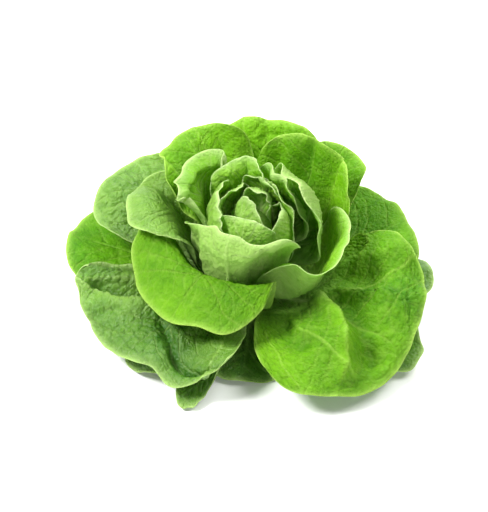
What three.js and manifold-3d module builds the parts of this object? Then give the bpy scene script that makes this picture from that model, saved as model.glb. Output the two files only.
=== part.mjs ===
import * as THREE from "three";
import { mergeVertices } from "three/addons/utils/BufferGeometryUtils.js";
import Module from "manifold-3d";

// A cut butterhead lettuce: a short stem, a rosette of spread leaves, a loose head of cupped leaves
// and a tight heart. Millimetres, +Z up. The stem's cut face lies on Z = 0 around the origin, and the
// side that the head opens towards is -Y.

// Driving dimensions
const bladeThickness = 0.8;
const bladeRoom = 1;
const leafGap = 2.6;
const rootGap = 0.5;
const gapGrowth = 0.03;
const lowestBlade = 0.8;
const rosetteCentre = 8;
const steepestBlade = THREE.MathUtils.degToRad(84);
const rowCrowding = 1.15;
const bellyMove = 0.2;
const shoulderMove = 0.6;
const pleatGrowth = 1.5;
const creaseRise = 0.3;
const creaseFade = 0.2;
const cutFaceRadius = 11.5;
const stemRadius = 12.6;
const stemTop = 26;
const coreBase = 34;
const coreTop = 92;
const coreRadius = 15;

// Each leaf is a loft on the stem's axis. azimuth and halfWidth are degrees around it. root, belly,
// shoulder and tip are [radius, height] points along the midrib. cw and ccw move the tip at the two
// side margins, sideReach shortens the margins, and pleat is [height, waves, phase] across the blade.
// A crease is [place at the root, place at the tip, height, width before, width after, start, end],
// with places and widths across the blade from -1 to 1, and start and end along it from 0 to 1.
// The leaves run from the outermost inwards, and each one lies on those before it.
const leafDefaults = {
  cw: [0, 0], ccw: [0, 0], sideReach: 0.7, sidePower: 2.6, sharpness: 2, pleat: [0, 2, 0], cup: 0,
  neck: 0.62, gap: leafGap, cells: [9, 12], creases: [],
};
const lowLeaf = { cells: [6, 7], gap: 1.6 };
const largeLeaf = { cells: [10, 16] };

const outerLeaves = [
  { name: "leaf_under_right", azimuth: 1, halfWidth: 17, ...lowLeaf,
    root: [14, 5], belly: [52, 10], shoulder: [100, 20], tip: [140, 24], pleat: [2, 2, 0] },
  { name: "leaf_under_front_right", azimuth: -32, halfWidth: 15, ...lowLeaf,
    root: [14, 5], belly: [52, 6], shoulder: [100, 8], tip: [147, 8], sideReach: 0.72, pleat: [2, 2, 1] },
  { name: "leaf_under_front", azimuth: -96, halfWidth: 24, ...lowLeaf,
    root: [14, 5], belly: [42, 6], shoulder: [74, 6], tip: [96, 4], pleat: [2, 2, 2] },
  { name: "leaf_under_front_left", azimuth: -114, halfWidth: 7.5, ...lowLeaf,
    root: [14, 6], belly: [52, 7], shoulder: [95, 8], tip: [133, 3], sideReach: 0.75, cup: 5 },
  { name: "leaf_under_left", azimuth: -137, halfWidth: 22, ...lowLeaf,
    root: [14, 6], belly: [50, 7], shoulder: [90, 8], tip: [124, 4], pleat: [2, 2, 1] },
  { name: "leaf_under_back_left", azimuth: 122, halfWidth: 34, ...lowLeaf,
    root: [14, 6], belly: [50, 9], shoulder: [95, 13], tip: [128, 6], pleat: [3, 2, 1] },
  { name: "leaf_under_back", azimuth: 84, halfWidth: 34, ...lowLeaf,
    root: [14, 7], belly: [50, 10], shoulder: [95, 14], tip: [124, 7], pleat: [3, 2, 0] },
  { name: "leaf_under_back_right", azimuth: 46, halfWidth: 32, ...lowLeaf,
    root: [14, 7], belly: [50, 10], shoulder: [95, 15], tip: [126, 7], pleat: [3, 2, 2] },
  { name: "leaf_far_left", azimuth: 168, halfWidth: 26,
    root: [14, 7], belly: [55, 18], shoulder: [105, 32], tip: [151, 38], ccw: [0, -12], pleat: [3, 2, 0] },
  { name: "leaf_back_left", azimuth: 147, halfWidth: 30,
    root: [14, 8], belly: [55, 28], shoulder: [100, 56], tip: [138, 66],
    cw: [-8, 14], ccw: [0, -12], sideReach: 0.68, pleat: [5, 2, 1] },
  { name: "leaf_right_back", azimuth: 18, halfWidth: 36,
    root: [14, 8], belly: [55, 20], shoulder: [100, 40], tip: [130, 44],
    cw: [0, -10], ccw: [-6, 16], sideReach: 0.68, pleat: [3, 2, 1] },
  { name: "leaf_back_right", azimuth: 52, halfWidth: 24,
    root: [14, 9], belly: [52, 28], shoulder: [90, 60], tip: [118, 80], sideReach: 0.68, pleat: [4, 2, 0] },
  { name: "leaf_back", azimuth: 84, halfWidth: 37,
    root: [14, 10], belly: [55, 28], shoulder: [85, 72], tip: [108, 99], sideReach: 0.66, pleat: [5, 3, 0] },
  { name: "leaf_crinkled_left", azimuth: -138, halfWidth: 42, ...largeLeaf,
    root: [14, 11], belly: [52, 18], shoulder: [98, 28], tip: [127, 16],
    cw: [44, 8], ccw: [-2, 10], sideReach: 0.8, sharpness: 1.6, pleat: [5, 2.5, 0.6],
    creases: [[0.02, -0.58, 11, 0.1, 0.3, 0.3, 1.2], [-0.6, -0.7, -7, 0.15, 0.12, 0.3, 0.8],
      [0.42, 0.42, -12, 0.2, 0.25, 0.25, 1.2]] },
  { name: "leaf_fan_right", azimuth: -37, halfWidth: 54, ...largeLeaf,
    root: [14, 13], belly: [52, 24], shoulder: [100, 30], tip: [143, 8],
    cw: [2, 4], ccw: [-10, 36], sideReach: 0.72, sidePower: 3, neck: 0.8, pleat: [5, 3, 0.3],
    creases: [[0.38, -0.47, 14, 0.25, 0.07, 0.2, 0.72], [-0.81, -0.08, 5, 0.08, 0.08, 0.25, 0.7],
      [0.32, -0.2, -9, 0.1, 0.1, 0.25, 0.8], [0, 0.1, 7, 0.15, 0.15, 0.4, 1.2],
      [0.45, 0.45, -9, 0.12, 0.12, 0.3, 1.2]] },
  { name: "leaf_scoop_left", azimuth: -131, halfWidth: 59, ...largeLeaf,
    root: [13, 15], belly: [52, 40], shoulder: [59, 68], tip: [99, 44],
    cw: [26, 20], ccw: [-18, -6], sideReach: 0.86, neck: 0.85, pleat: [2, 2, 0] },
  { name: "leaf_flap_left", azimuth: 168, halfWidth: 32, gap: 2,
    root: [13, 17], belly: [50, 38], shoulder: [70, 76], tip: [106, 80],
    cw: [-10, 12], ccw: [-12, 0], sideReach: 0.84, pleat: [2, 2, 1],
    creases: [[-0.5, -0.5, -9, 0.3, 0.06, 0.3, 2]] },
  { name: "leaf_cup_back_left", azimuth: 129, halfWidth: 40,
    root: [12.6, 19], belly: [54, 44], shoulder: [76, 88], tip: [92, 112],
    ccw: [-6, -14], sideReach: 0.78, pleat: [4, 2, 0],
    creases: [[0.5, 0.62, 16, 0.07, 3, 0.35, 2], [-0.5, -0.5, -8, 0.15, 0.15, 0.4, 2]] },
  { name: "leaf_cup_right", azimuth: 50, halfWidth: 44,
    root: [12.3, 21], belly: [52, 46], shoulder: [66, 84], tip: [74, 117],
    cw: [8, -36], ccw: [-8, -6], sideReach: 0.78, pleat: [3, 3, 1],
    creases: [[-0.35, -0.35, -14, 0.25, 0.08, 0.3, 2], [0.45, 0.3, 8, 0.1, 0.2, 0.4, 2]] },
];

const headLeaves = [
  { name: "leaf_wrap_right", azimuth: -32, halfWidth: 56, gap: 2, neck: 0.95,
    root: [12, 23], belly: [48, 36], shoulder: [60, 57], tip: [74, 78],
    cw: [-14, -22], ccw: [10, 8], sideReach: 0.88, pleat: [2, 2, 0] },
  { name: "leaf_pale_right", azimuth: 30, halfWidth: 46, gap: 2,
    root: [11.6, 25], belly: [46, 48], shoulder: [50, 86], tip: [30, 112], sideReach: 0.8, pleat: [3, 2, 0] },
  { name: "leaf_wrap_front", azimuth: -114, halfWidth: 68, gap: 2, cells: [9, 14],
    root: [11.3, 27], belly: [50, 46], shoulder: [57, 83], tip: [46, 105],
    cw: [6, -20], sideReach: 0.82, pleat: [2, 3, 0],
    creases: [[-0.35, -0.3, 6, 0.1, 0.25, 0.35, 2], [0.3, 0.35, -6, 0.2, 0.1, 0.35, 2]] },
  { name: "leaf_rolled_left", azimuth: 151, halfWidth: 35, gap: 2,
    root: [11, 29], belly: [44, 54], shoulder: [56, 88], tip: [84, 88],
    cw: [-10, 10], ccw: [2, -4], sideReach: 0.86, pleat: [2, 2, 0], cup: 16 },
  { name: "leaf_tongue_right", azimuth: 42, halfWidth: 44, gap: 2,
    root: [19, 37], belly: [40, 58], shoulder: [42, 95], tip: [30, 114],
    sideReach: 0.8, pleat: [3, 2, 1] },
];

// The heart's own leaves bend over the top, so their half widths are millimetres at the same four
// stations, bend is the radius that they are rolled to, and a midrib may come close to the axis.
const heartDefaults = { cells: [8, 8], gap: 1.6, sideDrop: 0.25 };
const heartLeaves = [
  { azimuth: 100, root: [6, 40], belly: [36, 60], shoulder: [42, 92], tip: [38, 115],
    halfWidths: [12, 36, 38, 24], bend: 46, pleat: [4, 3, 0] },
  { azimuth: 172, root: [6, 41], belly: [33, 60], shoulder: [36, 90], tip: [27, 107],
    halfWidths: [12, 34, 34, 20], bend: 40, pleat: [4, 2.5, 1] },
  { azimuth: 35, root: [6, 42], belly: [30, 62], shoulder: [32, 92], tip: [23, 111],
    halfWidths: [12, 32, 34, 22], bend: 40, pleat: [4, 2.5, 2] },
  { azimuth: 55, root: [5, 44], belly: [22, 66], shoulder: [25, 94], tip: [15, 113],
    halfWidths: [10, 28, 30, 20], bend: 30, pleat: [3, 3, 1] },
  { azimuth: 150, root: [5, 44], belly: [22, 66], shoulder: [26, 90], tip: [17, 108],
    halfWidths: [10, 26, 26, 16], bend: 28, pleat: [4, 2, 1] },
  { azimuth: -110, root: [6, 43], belly: [27, 62], shoulder: [28, 86], tip: [6, 102],
    halfWidths: [12, 32, 32, 14], bend: 32, pleat: [5, 3, 1] },
  { azimuth: -20, root: [6, 43], belly: [25, 62], shoulder: [28, 86], tip: [18, 102],
    halfWidths: [12, 30, 30, 16], bend: 32, pleat: [4, 2.5, 0] },
  { azimuth: -140, root: [4, 46], belly: [14, 66], shoulder: [15, 88], tip: [3, 104],
    halfWidths: [8, 20, 20, 12], bend: 18, pleat: [2.5, 3, 0] },
];

// Cubic through four values at t = 0, 1/3, 2/3 and 1
function cubicThrough(p0, p1, p2, p3, t) {
  const a = t - 1 / 3;
  const b = t - 2 / 3;
  const c = t - 1;
  return -4.5 * a * b * c * p0 + 13.5 * t * b * c * p1 - 13.5 * t * a * c * p2 + 4.5 * t * a * b * p3;
}

// A blade is a grid of points held as distance from the rosette's centre, elevation and azimuth.
function loftBlade(leaf) {
  const [rows, columns] = leaf.cells;
  const blade = { rows, columns, distance: [], elevation: [], azimuth: [] };
  for (let i = 0; i <= rows; i++) {
    const u = 1 - (1 - i / rows) ** rowCrowding;
    const width = leaf.neck + (1 - leaf.neck) * THREE.MathUtils.smoothstep(u, 0, 0.55);
    for (let j = 0; j <= columns; j++) {
      const v = -1 + (2 * j) / columns;
      const sideShare = Math.abs(v) ** leaf.sharpness;
      const [sideRadius, sideHeight] = (v > 0 ? leaf.ccw : leaf.cw).map((move) => move * sideShare);
      const t = u * (1 - (1 - leaf.sideReach) * Math.abs(v) ** leaf.sidePower);
      const radius = cubicThrough(leaf.root[0], leaf.belly[0] + bellyMove * sideRadius,
        leaf.shoulder[0] + shoulderMove * sideRadius, leaf.tip[0] + sideRadius, t);
      const height = cubicThrough(leaf.root[1], leaf.belly[1] + bellyMove * sideHeight,
        leaf.shoulder[1] + shoulderMove * sideHeight, leaf.tip[1] + sideHeight, t) - rosetteCentre;
      const distance = Math.hypot(radius, height);
      const [pleatHeight, waves, phase] = leaf.pleat;
      let wave = pleatHeight * u ** pleatGrowth * Math.sin(Math.PI * waves * v + phase);
      for (const crease of leaf.creases) {
        wave += creaseHeight(crease, u, v);
      }
      const rise = (wave + leaf.cup * sideShare * u) / Math.max(distance, 15);
      blade.distance.push(distance);
      blade.elevation.push(Math.min(Math.atan2(height, radius) + rise, steepestBlade));
      blade.azimuth.push(THREE.MathUtils.degToRad(leaf.azimuth + v * leaf.halfWidth * width));
    }
  }
  return blade;
}

function creaseHeight([rootPlace, tipPlace, height, before, after, start, end], u, v) {
  const off = v - THREE.MathUtils.lerp(rootPlace, tipPlace, u);
  const crest = Math.exp(off < 0 ? off / before : -off / after);
  const begins = THREE.MathUtils.smoothstep(u, start, start + creaseRise);
  const ends = THREE.MathUtils.smoothstep(u, end, end + creaseFade);
  return height * crest * begins * (1 - ends);
}

// Heart blade, rolled across to its bend and set around the axis
function heartBlade(leaf) {
  const [rows, columns] = leaf.cells;
  const blade = { rows, columns, distance: [], elevation: [], azimuth: [] };
  const facing = THREE.MathUtils.degToRad(leaf.azimuth);
  const [pleatHeight, waves, phase] = leaf.pleat;
  for (let i = 0; i <= rows; i++) {
    const u = 1 - (1 - i / rows) ** rowCrowding;
    for (let j = 0; j <= columns; j++) {
      const v = -1 + (2 * j) / columns;
      const t = u * (1 - leaf.sideDrop * Math.abs(v) ** leafDefaults.sidePower);
      const [midRadius, height] = [0, 1].map((axis) =>
        cubicThrough(leaf.root[axis], leaf.belly[axis], leaf.shoulder[axis], leaf.tip[axis], t));
      const turn = (v * cubicThrough(...leaf.halfWidths, t)) / leaf.bend;
      const bend = leaf.bend + pleatHeight * u ** pleatGrowth * Math.sin(Math.PI * waves * v + phase);
      const radius = midRadius - bend * (1 - Math.cos(turn));
      const sideways = bend * Math.sin(turn);
      const level = Math.hypot(radius, sideways);
      blade.distance.push(Math.hypot(level, height - rosetteCentre));
      blade.elevation.push(Math.atan2(height - rosetteCentre, level));
      blade.azimuth.push(facing + Math.atan2(sideways, radius));
    }
  }
  return blade;
}

function bladePoint(blade, k) {
  const level = blade.distance[k] * Math.cos(blade.elevation[k]);
  const height = rosetteCentre + blade.distance[k] * Math.sin(blade.elevation[k]);
  return new THREE.Vector3(level * Math.cos(blade.azimuth[k]), level * Math.sin(blade.azimuth[k]), height);
}

// The pile of leaves so far: the highest elevation at each distance and azimuth
const ringWidth = 4;
const ringCount = 46;
const sectorCount = 144;
const nearestDistance = 8;
const layingRounds = 8;
const layingSteps = 5;
const pileSteps = 9;

function emptyPile() {
  const pile = new Float64Array(ringCount * sectorCount);
  for (let ring = 0; ring < ringCount; ring++) {
    const distance = Math.max((ring + 0.5) * ringWidth, 9);
    const floor = Math.asin(THREE.MathUtils.clamp((lowestBlade - rosetteCentre) / distance, -1, 1));
    pile.fill(floor, ring * sectorCount, (ring + 1) * sectorCount);
  }
  return pile;
}

function widenedPile(pile) {
  const wide = new Float64Array(pile.length);
  for (let ring = 0; ring < ringCount; ring++) {
    for (let sector = 0; sector < sectorCount; sector++) {
      let highest = -Infinity;
      for (let a = -1; a <= 1; a++) {
        const nearRing = THREE.MathUtils.clamp(ring + a, 0, ringCount - 1);
        for (let b = -1; b <= 1; b++) {
          const nearSector = THREE.MathUtils.euclideanModulo(sector + b, sectorCount);
          highest = Math.max(highest, pile[nearRing * sectorCount + nearSector]);
        }
      }
      wide[ring * sectorCount + sector] = highest;
    }
  }
  return wide;
}

// Visits steps x steps points on the two facets of every cell of a blade
function eachFacetPoint(blade, steps, visit) {
  const { rows, columns } = blade;
  const points = blade.distance.map((_, k) => bladePoint(blade, k));
  const point = new THREE.Vector3();
  for (let i = 0; i < rows; i++) {
    for (let j = 0; j < columns; j++) {
      const k = i * (columns + 1) + j;
      const [a, b, c, d] = [points[k], points[k + columns + 1], points[k + columns + 2], points[k + 1]];
      for (let m = 0; m < steps; m++) {
        for (let n = 0; n < steps; n++) {
          const s = m / (steps - 1);
          const t = n / (steps - 1);
          const corner = s >= t ? b : d;
          point.copy(a).multiplyScalar(1 - Math.max(s, t));
          point.addScaledVector(corner, Math.abs(s - t)).addScaledVector(c, Math.min(s, t));
          const level = Math.hypot(point.x, point.y);
          const height = point.z - rosetteCentre;
          const distance = Math.hypot(level, height);
          const ring = Math.min(Math.floor(distance / ringWidth), ringCount - 1);
          const turn = THREE.MathUtils.euclideanModulo(Math.atan2(point.y, point.x) / (2 * Math.PI), 1);
          const sector = Math.floor(turn * sectorCount) % sectorCount;
          visit(k, distance, Math.atan2(height, level), ring * sectorCount + sector);
        }
      }
    }
  }
}

// Lifts a blade until all of it clears the pile, and bends the blade around what was lifted
function layOnPile(blade, pile, gap) {
  const { rows, columns } = blade;
  const stride = columns + 1;
  const wide = widenedPile(pile);
  for (let round = 0; round < layingRounds; round++) {
    const lift = new Float64Array(blade.elevation.length);
    eachFacetPoint(blade, layingSteps, (k, distance, elevation, cell) => {
      const clearance = Math.min(gap, rootGap + gapGrowth * distance);
      const short = wide[cell] + clearance / Math.max(distance, nearestDistance) - elevation;
      for (const corner of [k, k + 1, k + stride, k + stride + 1]) {
        lift[corner] = Math.max(lift[corner], short);
      }
    });
    if (Math.max(...lift) < 1e-4) {
      break;
    }
    for (let i = 0; i <= rows; i++) {
      for (let j = 0; j <= columns; j++) {
        const k = i * stride + j;
        const below = lift[Math.max(i - 1, 0) * stride + j];
        const above = lift[Math.min(i + 1, rows) * stride + j];
        const before = lift[i * stride + Math.max(j - 1, 0)];
        const after = lift[i * stride + Math.min(j + 1, columns)];
        const shared = 0.2 * (below + above + before + after);
        const room = Math.max(steepestBlade - blade.elevation[k], 0);
        blade.elevation[k] += Math.min(Math.max(lift[k], shared), room);
      }
    }
  }
  eachFacetPoint(blade, pileSteps, (k, distance, elevation, cell) => {
    const top = elevation + bladeRoom / Math.max(distance, nearestDistance);
    pile[cell] = Math.max(pile[cell], top);
  });
}

// Closed blade solid: the grid moved half a thickness to each side, split alike, with a wall all round
function bladeGeometry(blade) {
  const { rows, columns } = blade;
  const stride = columns + 1;
  const count = blade.distance.length;
  const index = [];
  const corners = [];
  for (let i = 0; i < rows; i++) {
    for (let j = 0; j < columns; j++) {
      const k = i * stride + j;
      corners.push(k, k + stride, k + stride + 1, k, k + stride + 1, k + 1);
    }
  }
  const sheet = new THREE.BufferGeometry().setFromPoints(blade.distance.map((_, k) => bladePoint(blade, k)));
  sheet.setIndex(corners);
  sheet.computeVertexNormals();
  const middle = sheet.attributes.position;
  const normal = sheet.attributes.normal;
  const positions = [];
  for (const side of [0.5, -0.5]) {
    for (let k = 0; k < count; k++) {
      const point = new THREE.Vector3().fromBufferAttribute(middle, k);
      const along = new THREE.Vector3().fromBufferAttribute(normal, k);
      positions.push(...point.addScaledVector(along, side * bladeThickness));
    }
  }
  for (let n = 0; n < corners.length; n += 3) {
    const [a, b, c] = corners.slice(n, n + 3);
    index.push(a, b, c, a + count, c + count, b + count);
  }
  const margin = [];
  for (let i = 0; i < rows; i++) {
    margin.push(i * stride);
  }
  for (let j = 0; j < columns; j++) {
    margin.push(rows * stride + j);
  }
  for (let i = rows; i > 0; i--) {
    margin.push(i * stride + columns);
  }
  for (let j = columns; j > 0; j--) {
    margin.push(j);
  }
  margin.forEach((p, n) => {
    const q = margin[(n + 1) % margin.length];
    index.push(p + count, q + count, q, p + count, q, p);
  });
  const geometry = new THREE.BufferGeometry();
  geometry.setAttribute("position", new THREE.Float32BufferAttribute(positions, 3));
  geometry.setIndex(index);
  geometry.computeVertexNormals();
  return geometry;
}

// Turned solid from [radius, height] points, from the axis at the bottom to the axis at the top
function turnedGeometry(profile, sides) {
  const points = profile.map(([radius, height]) => new THREE.Vector2(radius, height));
  return new THREE.LatheGeometry(points, sides).rotateX(Math.PI / 2);
}

const wasm = await Module();
wasm.setup();

function solidOf(geometry) {
  const bare = geometry.clone();
  bare.deleteAttribute("normal");
  bare.deleteAttribute("uv");
  const merged = mergeVertices(bare, 1e-4);
  const corners = merged.index.array;
  const triangles = [];
  for (let n = 0; n < corners.length; n += 3) {
    const [a, b, c] = corners.slice(n, n + 3);
    if (a !== b && b !== c && c !== a) {
      triangles.push(a, b, c);
    }
  }
  const vertProperties = new Float32Array(merged.attributes.position.array);
  const triVerts = new Uint32Array(triangles);
  return new wasm.Manifold(new wasm.Mesh({ numProp: 3, vertProperties, triVerts }));
}

function geometryOf(solid) {
  const mesh = solid.getMesh();
  const geometry = new THREE.BufferGeometry();
  geometry.setAttribute("position", new THREE.Float32BufferAttribute(mesh.vertProperties, 3));
  geometry.setIndex([...mesh.triVerts]);
  geometry.computeVertexNormals();
  return geometry;
}

function addPiece(group, name, geometry, colour, roughness) {
  const material = new THREE.MeshStandardMaterial({ color: colour, roughness, metalness: 0 });
  const mesh = new THREE.Mesh(geometry, material);
  mesh.name = name;
  group.add(mesh);
}

const lettuce = new THREE.Group();
const pile = emptyPile();

// Stem with its flat cut face
const stemProfile = [
  [0, 0], [cutFaceRadius, 0], [stemRadius, 3], [stemRadius - 0.6, 9], [stemRadius - 4, 17],
  [stemRadius - 6.5, stemTop - 3], [stemRadius - 8, stemTop], [0, stemTop],
];
addPiece(lettuce, "stem", turnedGeometry(stemProfile, 20), "#c9d6a0", 0.6);

// Spread leaves and the cupped leaves of the head
for (const leaf of outerLeaves) {
  const blade = loftBlade({ ...leafDefaults, ...leaf });
  layOnPile(blade, pile, leaf.gap ?? leafGap);
  addPiece(lettuce, leaf.name, bladeGeometry(blade), "#5fae22", 0.45);
}
for (const leaf of headLeaves) {
  const blade = loftBlade({ ...leafDefaults, ...leaf });
  layOnPile(blade, pile, leaf.gap);
  addPiece(lettuce, leaf.name, bladeGeometry(blade), "#8cc94a", 0.45);
}

// Heart: a packed core with its small leaves grown onto it. Pockets shut in between them are filled.
const coreProfile = [
  [0, coreBase], [coreRadius - 9, coreBase], [coreRadius - 6, coreBase + 6], [coreRadius - 1, coreBase + 18],
  [coreRadius, coreBase + 32], [coreRadius - 3, coreTop - 14], [coreRadius - 9, coreTop - 4], [0, coreTop],
];
let heart = solidOf(turnedGeometry(coreProfile, 16));
for (const leaf of heartLeaves) {
  const blade = heartBlade({ ...heartDefaults, ...leaf });
  layOnPile(blade, pile.slice(), heartDefaults.gap);
  heart = heart.add(solidOf(bladeGeometry(blade)));
}
const shells = heart.decompose();
const outerShell = shells.reduce((largest, shell) => (shell.volume() > largest.volume() ? shell : largest));
addPiece(lettuce, "heart", geometryOf(outerShell), "#c4df8a", 0.5);

export default lettuce;
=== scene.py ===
import math

import bpy
import numpy as np
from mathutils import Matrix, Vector


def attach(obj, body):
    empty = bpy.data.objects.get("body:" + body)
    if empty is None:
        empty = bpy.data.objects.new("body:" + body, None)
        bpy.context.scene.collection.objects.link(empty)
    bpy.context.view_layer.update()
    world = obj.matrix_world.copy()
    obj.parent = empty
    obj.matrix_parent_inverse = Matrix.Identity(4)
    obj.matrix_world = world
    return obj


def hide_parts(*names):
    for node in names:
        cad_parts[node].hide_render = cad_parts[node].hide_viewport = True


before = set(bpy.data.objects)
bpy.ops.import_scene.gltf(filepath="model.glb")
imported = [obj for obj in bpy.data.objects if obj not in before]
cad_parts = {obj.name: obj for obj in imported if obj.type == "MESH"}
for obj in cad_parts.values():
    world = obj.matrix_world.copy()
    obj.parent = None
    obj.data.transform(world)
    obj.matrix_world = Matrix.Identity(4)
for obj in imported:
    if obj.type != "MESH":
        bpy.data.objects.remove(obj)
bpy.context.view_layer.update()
print("frame loaded:", len(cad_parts), "nodes")

mm = 0.001  # one millimetre in scene units

# How the leaves are lofted and lie on each other, the same as in the solids
rosette = dict(
    centreHeight=8.0,          # height that elevations are measured from, mm
    lowestBlade=0.8,           # lowest height of a blade, mm
    bladeRoom=1.0,             # what a blade takes up in the pile, mm
    rootGap=0.5,               # gap between blades at the root, mm
    gapGrowth=0.03,            # more gap for each mm from the centre
    steepest=math.radians(84),
    ringWidth=4.0,             # the pile is kept in rings and sectors, mm
    rings=46,
    sectors=144,
    rounds=8,                  # most rounds of lifting a blade
    liftSteps=5,               # places tried along a cell while lifting
    pileSteps=9,               # places noted along a cell when it joins the pile
    liftShared=0.2,            # how much of a lift the neighbours take
    nearest=8.0,               # distances are taken as no less than these, mm
    nearestRing=9.0,
    nearestRise=15.0,
    rowCrowding=1.15,          # rows crowd towards the tip
    bellyMove=0.2,             # share of a side's move at the belly and the shoulder
    shoulderMove=0.6,
    widening=0.55,             # where along the blade it has its full width
    pleatGrowth=1.5,           # pleats grow along the blade
    creaseRise=0.3,
    creaseFade=0.2,
)

# What a leaf has unless its own entry says otherwise. Lengths in mm, angles in degrees.
leafDefaults = dict(
    cw=(0, 0), ccw=(0, 0),     # moves of the two side margins, out and up
    sideReach=0.7,             # length at the sides as a share of the midrib's
    sidePower=2.6,
    sharpness=2,
    pleat=(0, 2, 0),           # height, number of waves and phase
    cup=0,                     # rise of both margins
    neck=0.62,                 # width at the root as a share of the full width
    gap=2.6,                   # most room below the blade
    cells=(9, 12),             # cells of the solid along and across
    creases=(),                # (place at root, at tip, height, width before, width after, start, end)
    finish="outer",            # which leaf finish it takes
    tone=0.5,                  # 0 deep green, 1 bright
    crinkle=1.1,               # height of the puckers between the veins
    crinkleSize=12,            # width of a pucker
    veinDepth=0.7,             # how far the veins sink into the upper face
    ruffle=1.5,                # wave of the margin
    ruffleLength=24,
    curl=0.0,                  # margin turned up (+) or down (-)
    folds=(),                  # fine sharp folds: (place at root, at tip, height, width in mm, start, end)
    fineness=8,                # mesh cells in each cell of the solid
)
lowLeaf = dict(cells=(6, 7), gap=1.6, fineness=6, tone=0.3, crinkle=0.8, finish="waxy")
largeLeaf = dict(cells=(10, 16), fineness=11)

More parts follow.
